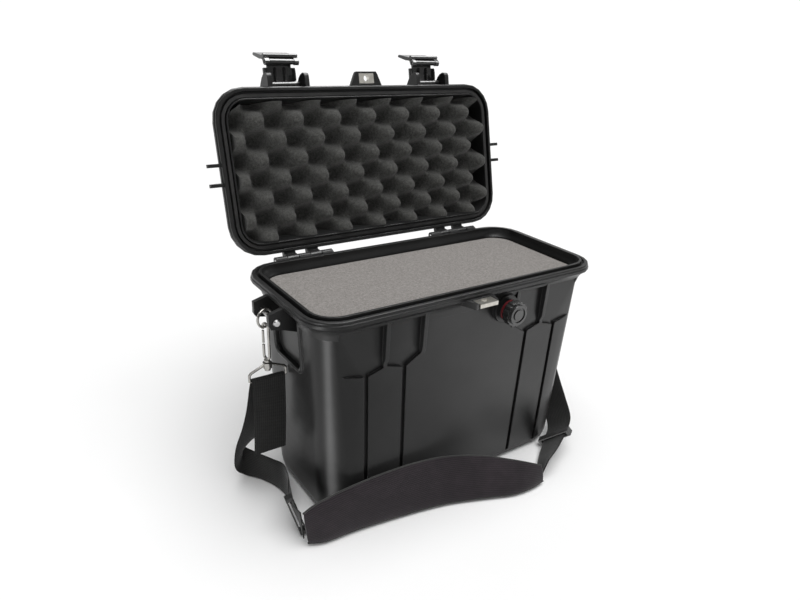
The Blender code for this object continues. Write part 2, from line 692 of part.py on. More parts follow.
def make_handle():
    place = (0, HANDLE_Y, HANDLE_Z)
    pivot = new_pivot("handle_axis", place, HANDLE_HANG, LID_PIVOT, HINGE_PLACE)
    grip_y = HANDLE_Y + HANDLE_REACH
    half = HANDLE_HALF_WIDTH + 2.5
    corner = 12
    path = [(-half, HANDLE_Y - 1, HANDLE_Z)]
    for x, y in arc((-half + corner, grip_y - corner), corner, 180, 90, 5):
        path.append((x, y, HANDLE_Z))
    for x, y in arc((half - corner, grip_y - corner), corner, 90, 0, 5):
        path.append((x, y, HANDLE_Z))
    path.append((half, HANDLE_Y - 1, HANDLE_Z))
    frame = tube("handle_frame", path, 4.2, resolution=3, colour=SHELL_BLACK, roughness=0.45)
    for side in (-1, 1):
        low, high = sorted((side * (HANDLE_HALF_WIDTH - 2), side * (HANDLE_HALF_WIDTH + 7.5)))
        add(frame, rod(f"handle_eye_{side}", (low, HANDLE_Y, HANDLE_Z), (high, HANDLE_Y, HANDLE_Z), 6))
    cut(frame, rod("handle_bore", (-90, HANDLE_Y, HANDLE_Z), (90, HANDLE_Y, HANDLE_Z), 2.35))
    look = {"colour": RUBBER_BLACK, "roughness": 0.7}
    grip = turned_sleeve("handle_grip", grip_profile(), (0, grip_y, HANDLE_Z), **look)
    hang_on(pivot, place, frame, grip)


# Strap hardware

def make_bracket_pin(side):
    look = {"colour": STEEL, "roughness": 0.25, "metallic": 1}
    ends = [(side * LUG_X, y, LUG_Z) for y in (-24.3, 24.3)]
    pin = rod(f"bracket_pin_{side_name(side)}", *ends, 1.9, **look)
    for end in (-1, 1):
        start, finish = (side * LUG_X, end * 22.4, LUG_Z), (side * LUG_X, end * 24.8, LUG_Z)
        add(pin, rod(f"pin_head_{side}_{end}", start, finish, 4, 3, **look))
    return pin


def plane_point(side, across, height, turn):
    """A point on the hanger's vertical line, shifted across it in the direction turn."""
    return (side * (LUG_X + across * math.cos(turn)), HANGER_Y + across * math.sin(turn), height)


def make_strap_ring(side):
    centre_z = LUG_Z + 1.9 + GAP - (RING_RADIUS - RING_WIRE)
    turn = -RING_TURN
    path = []
    for across, rise in arc((0, centre_z), RING_RADIUS, 0, 345, 23):
        path.append(plane_point(side, across, rise, turn))
    look = {"colour": STEEL, "roughness": 0.2, "metallic": 1}
    return tube(f"strap_ring_{side_name(side)}", path, RING_WIRE, cyclic=True, **look)


def hook_turn():
    return math.pi / 2 - RING_TURN


def make_snap_hook(side):
    """An oval hook with a gap for its gate, above a swivel stem."""
    turn, half = hook_turn(), HOOK_HALF_WIDTH
    outline = [(half, 219.2)]
    outline += arc((0, HOOK_TOP - half), half, 0, 180, 8)
    outline += arc((0, HOOK_BOTTOM + half), half, 180, 360, 8)
    outline.append((half, 200.5))
    path = [plane_point(side, across, height, turn) for across, height in outline]
    look = {"colour": STEEL, "roughness": 0.25, "metallic": 1}
    hook = tube(f"snap_hook_{side_name(side)}", path, HOOK_WIRE, **look)
    centre = (side * LUG_X, HANGER_Y)
    add(hook, rod(f"hook_stem_{side}", (*centre, HOOK_BOTTOM + 0.6), (*centre, 171), 2))
    add(hook, rod(f"hook_collar_{side}", (*centre, HOOK_BOTTOM - 0.5), (*centre, 180.6), 3.4))
    add(hook, rod(f"hook_head_{side}", (*centre, 173.2), (*centre, 170.6), 3.4))
    return hook


def make_snap_gate(side):
    turn, half = hook_turn(), HOOK_HALF_WIDTH
    path = [plane_point(side, half, height, turn) for height in (202.6, 207, 212, 217.1)]
    look = {"colour": STEEL, "roughness": 0.25, "metallic": 1}
    return tube(f"snap_gate_{side_name(side)}", path, HOOK_WIRE - 0.2, **look)


def make_webbing_loop(side):
    """The swivel eye and the wide wire loop that holds the webbing."""
    half = LOOP_HALF_WIDTH
    outline = [
        (-half, LOOP_BAR_Z + 1), (-half, 168.5), (-half + 2, 171), (-5, 176.9), (5, 176.9), (half - 2, 171),
        (half, 168.5), (half, LOOP_BAR_Z + 1), (half - 1.4, LOOP_BAR_Z), (-half + 1.4, LOOP_BAR_Z),
    ]
    path = [plane_point(side, across, height, 0) for across, height in outline]
    look = {"colour": STEEL, "roughness": 0.25, "metallic": 1}
    loop = tube(f"webbing_loop_{side_name(side)}", path, LOOP_WIRE, cyclic=True, **look)
    centre = (side * LUG_X, HANGER_Y)
    add(loop, rod(f"loop_eye_{side}", (*centre, 173.6), (*centre, 180.1), 5))
    cut(loop, rod(f"loop_bore_{side}", (*centre, 168), (*centre, 186), 2.4))
    cut(loop, rod(f"loop_head_room_{side}", (*centre, 168), (*centre, 173.7), 4.2))
    return loop


# Strap: flat webbing and the shoulder pad, lofted through stations

def catmull_rom(before, start, end, after, share):
    return 0.5 * (
        2 * start + (end - before) * share
        + (2 * before - 5 * start + 4 * end - after) * share**2
        + (3 * start - before - 3 * end + after) * share**3
    )


def smooth_stations(stations, steps):
    """Stations (centre, width direction, width) with steps - 1 more between each pair."""
    rows = []
    for centre, across, width in stations:
        rows.append(Vector((*centre, *(Vector(across).normalized() * width))))
    rows = [2 * rows[0] - rows[1]] + rows + [2 * rows[-1] - rows[-2]]
    result = []
    for i in range(1, len(rows) - 2):
        for step in range(steps):
            result.append(catmull_rom(*rows[i - 1:i + 3], step / steps))
    result.append(rows[-2])
    return [(Vector(row[:3]), Vector(row[3:])) for row in result]


def flat_strap(name, stations, thickness, steps=3, **look):
    rows = smooth_stations(stations, steps)
    loops = []
    for i, (centre, across) in enumerate(rows):
        ahead = rows[min(i + 1, len(rows) - 1)][0] - rows[max(i - 1, 0)][0]
        normal = ahead.cross(across).normalized() * thickness / 2
        half = across / 2
        low, high = centre - half, centre + half
        loops.append([low - normal, high - normal, high + normal, low + normal])
    return loft(name, loops, **look)


def hanging_stations(side, steps=5):
    """The doubled webbing: up the front, round the loop's bar, and down the back."""
    wide = WEBBING_WIDTH
    x = side * (LUG_X + 0.2)
    radius = LOOP_WIRE + 0.5 + WEBBING_THICKNESS / 2
    stations = [
        ((x + side * 3, HANGER_Y - 3.4, 68), (1, 0, 0), wide),
        ((x + side, HANGER_Y - 3.6, 110), (1, 0, 0), wide),
        ((x, HANGER_Y - radius, 150), (1, 0, 0), wide),
    ]
    for step in range(steps + 1):
        angle = math.pi * (1 - step / steps)
        y, z = HANGER_Y + radius * math.cos(angle), LOOP_BAR_Z + radius * math.sin(angle)
        stations.append(((x, y, z), (1, 0, 0), wide))
    return stations


def left_stations():
    """From the left loop down to a fold on the ground, then on edge round to the pad's left end."""
    wide = WEBBING_WIDTH
    stations = hanging_stations(-1) + [
        ((-208, 12.5, 148), (1, 0, 0), wide), ((-210, 20, 120), (1, 0.05, 0), wide),
        ((-213, 32, 90), (1, 0.1, 0.05), wide), ((-219, 48, 58), (0.95, 0.25, 0.2), wide),
        ((-224, 62, 33), (0.6, 0.45, 0.66), wide), ((-221, 61, 22.5), (0.1, 0.25, 0.96), wide),
        ((-209, 43, 20.5), (0, 0.05, 1), wide), ((-199, 22, 20.5), (0, 0.1, 1), wide),
        ((-194, 4, 20.5), (0.1, 0.3, 0.95), wide), ((-197, -20, 20.5), (0, 0.3, 0.95), wide),
        ((-205, -44, 22.5), (-0.2, 0.25, 0.95), wide), ((-211, -64, 25.8), (-0.25, 0.2, 0.95), wide),
        ((-213, -84, 26), (-0.08, 0, 1), wide),
    ]
    return stations


def right_stations():
    """From the right loop forward and down past the front corner to the pad's right end."""
    wide = WEBBING_WIDTH
    stations = hanging_stations(1) + [
        ((206, 11.5, 148), (1, 0, 0), wide), ((205.5, 4, 120), (1, -0.1, 0), wide),
        ((204, -10, 90), (0.9, -0.4, 0), wide), ((200, -30, 62), (0.6, -0.75, 0.25), wide),
        ((192, -57, 40), (0.42, -0.66, 0.62), wide), ((174, -87, 28), (0.4, -0.66, 0.64), wide),
        ((151, -103, 22), (0.31, -0.7, 0.65), wide),
        ((127, -118, 19.5), (0.3, -0.6, 0.72), wide), ((109, -130, 18.5), (0.34, -0.45, 0.8), wide * 0.92),
        ((96, -141, 16.5), (0.2, -0.15, 0.97), wide * 0.74),
    ]
    return stations


def make_slider(name, stations, nearest):
    """A frame that the webbing runs through, square to it at the row nearest to a given station."""
    rows = smooth_stations(stations, 3)
    i = nearest * 3
    centre, across = rows[i][0], rows[i][1].normalized()
    along = rows[i + 1][0] - rows[i - 1][0]
    along = (along - along.dot(across) * across).normalized()
    look = {"colour": LATCH_BLACK, "roughness": 0.35}
    frame = box(name, (-24.5, -5, -4.2), (24.5, 5, 4.2), **look)
    slot = box(f"{name}_slot", (-20.4, -9, -2.5), (20.4, 9, 2.5))
    turn = Matrix((across, along, across.cross(along))).transposed().to_4x4()
    frame.matrix_world = Matrix.Translation(centre * MM) @ turn
    slot.matrix_world = frame.matrix_world
    cut(frame, slot)


def make_shoulder_pad():
    """A curved padded band that stands on its lower edge and leans towards the case."""
    edges = [
        ((-210, -90, 5), (-214, -89, 46)), ((-192, -97, 4.5), (-198, -88, 51)),
        ((-157, -99, 4.5), (-166, -88.5, 56)), ((-124, -103, 4.5), (-134, -89.5, 58.5)),
        ((-97, -107, 4.5), (-104, -90, 58.5)), ((-68, -112, 4.5), (-71, -91, 57)),
        ((-35, -120, 4.5), (-31, -95, 52.5)), ((7, -136, 4.5), (12, -110, 47)),
        ((38, -148, 4.5), (44, -127, 40)), ((64, -151, 4.5), (67, -138, 33)), ((86, -149, 5), (86, -144, 25)),
    ]
    stations = []
    for low, high in edges:
        low, high = Vector(low), Vector(high)
        stations.append(((low + high) / 2, high - low, (high - low).length))
    return flat_strap("shoulder_pad", stations, PAD_THICKNESS, steps=2, colour=PAD_CHARCOAL, roughness=0.95)


def make_strap():
    for side in (-1, 1):
        make_bracket_pin(side)
        make_strap_ring(side)
        make_snap_hook(side)
        make_snap_gate(side)
        make_webbing_loop(side)
    for name, stations, from_end in (("left", left_stations(), 2), ("right", right_stations(), 4)):
        flat_strap(f"webbing_{name}", stations, WEBBING_THICKNESS, colour=WEBBING_BLACK, roughness=0.9)
        make_slider(f"slider_{name}", stations, len(stations) - from_end)
    make_shoulder_pad()


def make_lid():
    pieces = [make_lid_shell(), make_lid_seal(), make_lid_foam(), make_lid_padlock_plate()]
    for side in (-1, 1):
        pieces += make_lid_pins(side)
        make_latch(side)
    hang_on(LID_PIVOT, HINGE_PLACE, *pieces)
    make_handle()
    return pieces


def hang_lid_tools():
    """The cutters and joined shapes of each moving piece follow it."""
    for piece in CASE.objects:
        for modifier in piece.modifiers:
            tool = modifier.object
            if piece.parent is not None:
                tool.parent = piece.parent
                tool.matrix_parent_inverse = piece.matrix_parent_inverse.copy()
            for inner in tool.modifiers:
                inner.object.parent = tool.parent
                inner.object.matrix_parent_inverse = tool.matrix_parent_inverse.copy()


make_base_shell()
make_base_padlock_plate()
make_foam()
make_hinge_pins()
make_valve()
make_lid()
make_strap()
hang_lid_tools()
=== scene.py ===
"""Looks of the hard equipment case: finishes, foam, strap and pad, stage, light and camera.

Lengths in the tables are millimetres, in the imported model's frame: +X the case's right, -Y the latch side,
+Z up. Lid pieces are laid out as if the lid were shut and then turned about the hinge to where it rests.
"""

import json
import math

import bmesh
import bpy
from mathutils import Matrix, Vector, noise


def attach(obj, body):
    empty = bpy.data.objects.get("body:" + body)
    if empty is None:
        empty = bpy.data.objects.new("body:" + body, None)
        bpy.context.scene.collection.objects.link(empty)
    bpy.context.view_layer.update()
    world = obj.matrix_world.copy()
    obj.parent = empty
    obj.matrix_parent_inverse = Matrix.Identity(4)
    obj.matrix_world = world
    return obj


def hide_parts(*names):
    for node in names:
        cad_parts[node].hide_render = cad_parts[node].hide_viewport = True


MM = 0.001
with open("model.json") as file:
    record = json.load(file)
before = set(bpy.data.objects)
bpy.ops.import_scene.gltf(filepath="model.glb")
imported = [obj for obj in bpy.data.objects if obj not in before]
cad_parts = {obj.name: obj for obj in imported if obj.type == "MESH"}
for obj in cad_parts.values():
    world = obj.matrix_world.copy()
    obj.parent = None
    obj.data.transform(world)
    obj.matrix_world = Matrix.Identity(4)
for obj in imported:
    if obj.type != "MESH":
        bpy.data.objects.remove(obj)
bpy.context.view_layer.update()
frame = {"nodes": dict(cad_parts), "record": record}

# Lid, shut, and the turn that opens it
HINGE = Vector((0, 103.6, 256.6)) * MM
LID_OPENING = math.radians(102.7)

# Case foam: sections are (half length, half width, corner radius, height)
LINING_FOOT, LINING_TOP = (169.5, 74, 32, 14), (180, 79, 26, 238)
FOAM_CLEARANCE = 0.7
FLOOR_PAD_SECTIONS = [(156.5, 61, 24, 5), (164, 68.5, 29, 7.6)]
TOP_LAYER_SECTIONS = [(181.3, 79.7, 26.3, 241), (181.3, 79.7, 26.3, 247), (180.9, 79.3, 25.9, 248.3)]
TOP_LAYER_CROWN = 249.4
CROWN_RINGS = ((1.2, 0.55), (3.5, 0.85), (8, 1), (18, 1), (30, 1), (45, 1), (60, 1))
CROWN_UNEVENNESS, CROWN_SINK = 0.35, 0.25

# Convoluted lid foam
LID_FOAM_HALF_X, LID_FOAM_HALF_Y, LID_FOAM_CORNER = 180.2, 78.6, 21
LID_FOAM_BACK_X, LID_FOAM_BACK_Y = 174, 72.5
LID_FOAM_BACK, LID_FOAM_VALLEY, LID_FOAM_PEAK = 303.5, 288, 250.6
PEAK_PITCH_X, PEAK_PITCH_Y, FIRST_PEAK_X, FIRST_PEAK_Y = 49.9, 45, -176, -81
LID_FOAM_COLUMNS, LID_FOAM_ROWS = 190, 84
LID_FOAM_UNEVENNESS = 1.6

# Strap: stations are (centre, width direction, width)
LUG_X, HANGER_Y = 206, 8
LOOP_BAR_Z, LOOP_WIRE = 160.5, 1.6
WEBBING_WIDTH, WEBBING_THICKNESS = 38, 1.6
STRAP_STEPS, PAD_STEPS = 6, 8
PAD_THICKNESS, PAD_EDGE, BINDING_FULLNESS = 9.5, 2.2, 1.05

# Camera
CAMERA_PLACE = Vector((-445.3, -598.9, 529.1)) * MM
CAMERA_AIM = Vector((0.5445, 0.7352, -0.4037))
CAMERA_ROLL = math.radians(3.1)
CAMERA_LENS, CAMERA_SHIFT = 29.7, (-0.032, 0.0135)

# Finishes that the strip lights fall on
GLOSSY_FINISHES = ("case_shell", "latch_plastic", "valve_plastic", "slider_plastic")

# Stage, in metres: a floor that is flat near the case and rises like a bowl far from it
SWEEP_RINGS = (0.5, 1.5, 3, 4.5, 6, 8, 10, 12, 14, 16, 18, 20)
SWEEP_FLAT, SWEEP_EDGE, SWEEP_RISE = 3, 20, 6
SWEEP_SIDES = 48

# Lights: name, place, aim and size in metres, and watts. The two strips stand below the floor's level,
# where the case's upright walls mirror them up to the camera.
SKY_STRENGTH = 0.25
OVERHEAD_HEADING, OVERHEAD_TILT, OVERHEAD_STRENGTH, OVERHEAD_SPREAD = 20, 12, 2.6, 60
STRIP_LIGHTS = (
    ("corner_strip", (-0.98, -0.34, -0.45), (-0.17, -0.07, 0.13), (0.22, 0.8), 14),
    ("right_strip", (0.95, -0.70, -0.36), (0.17, -0.08, 0.14), (0.30, 0.8), 8),
    ("top_panel", (0.4, 0.1, 1.6), (0, 0, 0.2), (1.4, 1.0), 80),
)


# Shader graphs

class Graph:
    """A material's nodes, added and linked by short calls."""

    def __init__(self, name, **sockets):
        self.material = bpy.data.materials.new(name)
        self.material.use_nodes = True
        self.nodes = self.material.node_tree.nodes
        self.links = self.material.node_tree.links
        self.shader = self.nodes["Principled BSDF"]
        for socket, value in sockets.items():
            self.shader.inputs[socket.replace("_", " ")].default_value = value

    def add(self, kind, inputs=None, **settings):
        node = self.nodes.new("ShaderNode" + kind)
        for setting, value in settings.items():
            setattr(node, setting, value)
        for key, value in (inputs or {}).items():
            self.join(value, node.inputs[key])
        return node

    def join(self, value, socket):
        if isinstance(value, bpy.types.NodeSocket):
            self.links.new(value, socket)
        else:
            socket.default_value = value

    def place(self):
        return self.add("TexCoord").outputs["Object"]

    def noise(self, scale, detail=4.0, roughness=0.55, vector=None):
        inputs = {"Vector": vector or self.place(), "Scale": scale, "Detail": detail, "Roughness": roughness}
        return self.add("TexNoise", inputs).outputs["Fac"]

    def cells(self, scale, vector=None, feature="F1"):
        inputs = {"Vector": vector or self.place(), "Scale": scale}
        return self.add("TexVoronoi", inputs, feature=feature).outputs["Distance"]

    def math(self, operation, first, second=0.0):
        return self.add("Math", {0: first, 1: second}, operation=operation).outputs[0]

    def ramp(self, value, low, high, to_low=0.0, to_high=1.0):
        inputs = {"Value": value, "From Min": low, "From Max": high, "To Min": to_low, "To Max": to_high}
        return self.add("MapRange", inputs).outputs[0]

    def mix(self, share, first, second):
        node = self.add("Mix", data_type="RGBA")
        self.join(share, node.inputs["Factor"])
        self.join(first, node.inputs["A"])
        self.join(second, node.inputs["B"])
        return node.outputs["Result"]

    def stretched(self, scale):
        return self.add("Mapping", {"Vector": self.place(), "Scale": scale}).outputs["Vector"]

    def colour(self, value):
        self.join(value, self.shader.inputs["Base Color"])

    def rough(self, value):
        self.join(value, self.shader.inputs["Roughness"])

    def bump(self, height, strength, distance, normal=None):
        inputs = {"Height": height, "Strength": strength, "Distance": distance * MM}
        if normal is not None:
            inputs["Normal"] = normal
        out = self.add("Bump", inputs).outputs["Normal"]
        self.links.new(out, self.shader.inputs["Normal"])
        return out

    def eased_edges(self, radius):
        return self.add("Bevel", {"Radius": radius * MM}, samples=4).outputs["Normal"]


def moulded_plastic(name, dark, light, rough_low, rough_high, edge, specular=0.5, grain=1400):
    """Moulded plastic: a fine spark-eroded grain, soft flow marks, dull handling marks and eased edges."""
    graph = Graph(name, Specular_IOR_Level=specular)
    flow = graph.noise(9, detail=3)
    marks = graph.noise(1.0, detail=5, roughness=0.55, vector=graph.stretched((30, 30, 90)))
    graph.colour(graph.mix(graph.ramp(flow, 0.35, 0.7), (*dark, 1), (*light, 1)))
    dull = graph.math("MULTIPLY", graph.ramp(marks, 0.4, 0.75), 0.3)
    blend = graph.math("ADD", graph.math("MULTIPLY", graph.ramp(flow, 0.3, 0.75), 0.5), dull)
    graph.rough(graph.ramp(blend, 0, 1, rough_low, rough_high))
    graph.bump(graph.noise(grain, detail=2), 0.16, 0.12, graph.eased_edges(edge))
    return graph.material


def rubber(name):
    graph = Graph(name, Specular_IOR_Level=0.4)
    bloom = graph.noise(60, detail=6, roughness=0.7)
    clean, dusty = (0.012, 0.012, 0.012, 1), (0.035, 0.034, 0.033, 1)
    graph.colour(graph.mix(graph.ramp(bloom, 0.4, 0.75), clean, dusty))
    graph.rough(graph.ramp(bloom, 0.3, 0.8, 0.5, 0.75))
    graph.bump(graph.noise(900, detail=3), 0.2, 0.15, graph.eased_edges(0.5))
    return graph.material


def metal(name, colour, worn, rough_low, rough_high, brush):
    """Plated or brushed metal: fine brushing along one direction, faint stains and softened edges."""
    graph = Graph(name, Metallic=1.0)
    stain = graph.noise(140, detail=5, roughness=0.65)
    lines = graph.noise(1.0, detail=3, vector=graph.stretched(brush))
    graph.colour(graph.mix(graph.ramp(stain, 0.45, 0.75), (*colour, 1), (*worn, 1)))
    wear = graph.math("ADD", graph.math("MULTIPLY", lines, 0.6), graph.math("MULTIPLY", stain, 0.4))
    graph.rough(graph.ramp(wear, 0.3, 0.7, rough_low, rough_high))
    graph.bump(lines, 0.12, 0.05, graph.eased_edges(0.4))
    return graph.material


def open_cell_foam(name, pore_shade, skin, tint):
    """Open-cell foam: pores of two sizes coloured darker as painted shade in the cells, a speckled skin and a
    soft fuzz.
    """
    graph = Graph(name, Roughness=1.0, Specular_IOR_Level=0.15, Sheen_Weight=0.1, Sheen_Roughness=0.6)
    small, large = graph.cells(1500), graph.cells(520)
    speckle = graph.noise(330, detail=4, roughness=0.75)
    patch = graph.mix(graph.ramp(speckle, 0.38, 0.62), (*skin, 1), (*tint, 1))
    holes = graph.math("MULTIPLY", graph.ramp(small, 0.1, 0.42), graph.ramp(large, 0.06, 0.3))
    # Painted shade: the pores take the darker pore colour, standing in for the shade inside the foam's cells.
    graph.colour(graph.mix(holes, (*pore_shade, 1), patch))
    fuzz = graph.math("MULTIPLY", graph.noise(700), 0.5)
    graph.bump(graph.math("ADD", graph.math("MULTIPLY", holes, 0.7), fuzz), 0.55, 0.5)
    return graph.material


def weave(name, dark, light, pitch_u, pitch_v, sheen, slant=0.5):
    """Woven cloth read from the strap's own UVs, in millimetres: rounded yarns that pass over and under,
    coloured lighter on their crests and darker between them as painted highlight and shade, with patches of
    real wear.
    """
    graph = Graph(name, Roughness=0.85, Specular_IOR_Level=0.25, Sheen_Weight=sheen, Sheen_Roughness=0.45)
    uv = graph.add("UVMap", uv_map="cloth").outputs["UV"]
    split = graph.add("SeparateXYZ", {0: uv})
    along = graph.math("MULTIPLY", split.outputs["X"], 2 * math.pi / pitch_u)
    across = graph.math("MULTIPLY", split.outputs["Y"], 2 * math.pi / pitch_v)
    shifted = graph.math("ADD", along, graph.math("MULTIPLY", across, slant))
    warp = graph.math("MULTIPLY", graph.math("SINE", shifted), 0.5)
    weft = graph.math("MULTIPLY", graph.math("COSINE", across), 0.5)
    yarn = graph.math("ADD", graph.math("ADD", warp, weft), 1.0)
    fuzz = graph.noise(900, detail=4, roughness=0.7)
    height = graph.math("ADD", graph.math("MULTIPLY", yarn, 0.5), graph.math("MULTIPLY", fuzz, 0.35))
    wear = graph.noise(22, detail=5, roughness=0.7)
    # Painted highlight and shade: the colour follows the yarn height, lighter on the crests and darker in the
    # gaps; the lighter wear patches are real.
    tone = graph.math("ADD", graph.ramp(height, 0.25, 1.2, 0, 0.75), graph.ramp(wear, 0.45, 0.75, 0, 0.3))
    graph.colour(graph.mix(tone, (*dark, 1), (*light, 1)))
    graph.rough(graph.ramp(fuzz, 0.3, 0.7, 0.75, 0.98))
    graph.bump(height, 0.6, 0.35)
    return graph.material


def make_finishes():
    black, warm_grey, dark_grey = (0.005, 0.005, 0.005), (0.24, 0.225, 0.212), (0.044, 0.044, 0.041)
    steel, plate = (0.40, 0.39, 0.37), (0.62, 0.60, 0.55)
    along_x, along_z = (40, 2600, 2600), (1500, 1500, 80)
    return {
        "case_shell": moulded_plastic("case_shell", black, (0.008, 0.008, 0.008), 0.28, 0.40, 1.0, 0.18),
        "latch_plastic": moulded_plastic("latch_plastic", black, (0.010, 0.010, 0.010), 0.12, 0.26, 0.6, 0.4),
        "slider_plastic": moulded_plastic("slider_plastic", black, (0.014, 0.014, 0.014), 0.3, 0.5, 0.5),
        "valve_plastic": moulded_plastic("valve_plastic", black, (0.012, 0.012, 0.012), 0.2, 0.35, 0.5),
        "valve_ring": moulded_plastic("valve_ring", (0.10, 0.008, 0.012), (0.17, 0.016, 0.02), 0.3, 0.5, 0.4),
        "seal_rubber": rubber("seal_rubber"),
        "grip_rubber": rubber("grip_rubber"),
        "padlock_plate": metal("padlock_plate", plate, (0.42, 0.40, 0.36), 0.22, 0.45, along_x),
        "steel_pin": metal("steel_pin", (0.60, 0.60, 0.60), (0.42, 0.42, 0.42), 0.2, 0.4, (60, 1800, 1800)),
        "strap_metal": metal("strap_metal", steel, (0.26, 0.25, 0.24), 0.14, 0.34, along_z),
        # Each foam's first colour is the painted shade of its pores.
        "case_foam": open_cell_foam("case_foam", (0.09, 0.083, 0.078), warm_grey, (0.345, 0.325, 0.31)),
        "lid_foam": open_cell_foam("lid_foam", (0.008, 0.008, 0.008), dark_grey, (0.088, 0.088, 0.083)),
        # For each cloth the darker colour is painted shade between the yarns, and the lighter one is painted
        # highlight on their crests and the colour of worn patches.
        "webbing": weave("webbing", (0.004, 0.004, 0.004), (0.026, 0.026, 0.025), 1.9, 2.4, 0.2),
        "pad_fabric": weave("pad_fabric", (0.006, 0.005, 0.006), (0.040, 0.031, 0.037), 2.2, 2.2, 0.2, 1.0),
        "pad_binding": weave("pad_binding", (0.014, 0.014, 0.014), (0.085, 0.085, 0.083), 1.2, 1.2, 0.2),
    }


def share_normals(mesh, widest=34):
    """Faces that meet at less than the widest angle share normals: arcs look round, edges stay crisp."""
    mesh.shade_smooth()
    corners = [(face, tuple(round(value, 6) for value in mesh.vertices[index].co))
               for face in mesh.polygons for index in face.vertices]
    meeting = {}
    for face, place in corners:
        meeting.setdefault(place, []).append(face)
    closest = math.cos(math.radians(widest))
    normals = []
    for face, place in corners:
        near = [each.normal * each.area for each in meeting[place] if each.normal.dot(face.normal) > closest]
        normals.append(sum(near, Vector()).normalized())
    mesh.normals_split_custom_set(normals)


def paint_cad_nodes(finishes):
    slots = {row["node"]: row["material_slot"] for row in frame["record"]["subparts"]}
    for name, node in frame["nodes"].items():
        node.data.materials.clear()
        node.data.materials.append(finishes[slots[name]])
        share_normals(node.data)


# Mesh helpers

def finish_mesh(name, bm, material, smooth_angle=50):
    bmesh.ops.recalc_face_normals(bm, faces=bm.faces)
    mesh = bpy.data.meshes.new(name)
    bm.to_mesh(mesh)
    bm.free()
    mesh.shade_smooth()
    mesh.set_sharp_from_angle(angle=math.radians(smooth_angle))
    mesh.materials.append(material)
    piece = bpy.data.objects.new(name, mesh)
    bpy.context.scene.collection.objects.link(piece)
    return piece


def rounded_rectangle(half_x, half_y, radius, steps=10):
    outline = []
    for corner, (sign_x, sign_y) in enumerate(((1, 1), (-1, 1), (-1, -1), (1, -1))):
        for step in range(steps + 1):
            angle = math.pi / 2 * (corner + step / steps)
            x = sign_x * (half_x - radius) + radius * math.cos(angle)
            y = sign_y * (half_y - radius) + radius * math.sin(angle)
            outline.append((x, y))
    return outline


def bridge(bm, low, high):
    for i in range(len(low)):
        j = (i + 1) % len(low)
        bm.faces.new((low[i], low[j], high[j], high[i]))


def open_lid(piece):
    """Turns a piece laid out on the shut lid to where the lid rests open."""
    turn = Matrix.Rotation(-LID_OPENING, 4, "X")
    piece.data.transform(Matrix.Translation(HINGE) @ turn @ Matrix.Translation(-HINGE))


# Foam in the case

def lining_section(z, inset):
    share = (z - LINING_FOOT[3]) / (LINING_TOP[3] - LINING_FOOT[3])
    half_x, half_y, radius = (a + share * (b - a) - inset for a, b in zip(LINING_FOOT[:3], LINING_TOP[:3]))
    return half_x, half_y, radius, z


def foam_block(name, sections, crown_z, material):
    """A block through its outline sections, closed above by rings that follow a softly uneven top."""
    bm = bmesh.new()
    rows = []
    for half_x, half_y, radius, z in sections:
        outline = rounded_rectangle(half_x, half_y, radius)
        rows.append([bm.verts.new(Vector((x, y, z)) * MM) for x, y in outline])
    half_x, half_y, radius, z = sections[-1]
    for inset, share in CROWN_RINGS:
        top = z + (crown_z - z) * share
        ring = rounded_rectangle(half_x - inset, half_y - inset, max(radius - inset, 4))
        row = []
        for x, y in ring:
            uneven = CROWN_UNEVENNESS * noise.noise(Vector((x, y, 0)) * 0.03) * share
            row.append(bm.verts.new(Vector((x, y, top + uneven - CROWN_SINK)) * MM))
        rows.append(row)
    for low, high in zip(rows, rows[1:]):
        bridge(bm, low, high)
    bm.faces.new(rows[0])
    bm.faces.new(rows[-1])
    return finish_mesh(name, bm, material)


def make_case_foam(finishes):
    """Each layer is laid from its own sections, then from the lining's shape at the given heights."""
    blocks = (
        ("floor_foam", "foam_floor_pad", FLOOR_PAD_SECTIONS, (14, 23.5), [], 25),
        ("lower_foam", "foam_lower_block", [], (25.6, 80, 134.5), [], 136),
        ("upper_foam", "foam_upper_block", [], (136.6, 190, 237.9), TOP_LAYER_SECTIONS, TOP_LAYER_CROWN),
    )
    for name, node, below, heights, above, crown in blocks:
        sections = below + [lining_section(z, FOAM_CLEARANCE) for z in heights] + above
        block = foam_block(name, sections, crown, finishes["case_foam"])
        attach(block, "case_base")
        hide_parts(node)


# Convoluted foam in the lid

def into_corner(x, y, half_x, half_y):
    """Moves a point outside the sheet's rounded corners on to them."""
    over_x, over_y = abs(x) - half_x + LID_FOAM_CORNER, abs(y) - half_y + LID_FOAM_CORNER
    if over_x <= 0 or over_y <= 0:
        return x, y
    reach = math.hypot(over_x, over_y)
    if reach <= LID_FOAM_CORNER:
        return x, y
    keep = 1 - LID_FOAM_CORNER / reach
    return x - math.copysign(over_x * keep, x), y - math.copysign(over_y * keep, y)


def peak_height(x, y):
    """Rounded peaks that stand well clear of narrower hollows, with the unevenness of a cut foam."""
    across = 2 * math.pi * (x - FIRST_PEAK_X) / PEAK_PITCH_X
    along = 2 * math.pi * (y - FIRST_PEAK_Y) / PEAK_PITCH_Y
    rise = 0.5 + 0.5 * math.cos(across) * math.cos(along)
    rise = rise * rise * (3 - 2 * rise)
    uneven = noise.noise(Vector((x, y, 3)) * 0.06)
    return LID_FOAM_VALLEY + (LID_FOAM_PEAK - LID_FOAM_VALLEY) * rise + abs(uneven) * LID_FOAM_UNEVENNESS


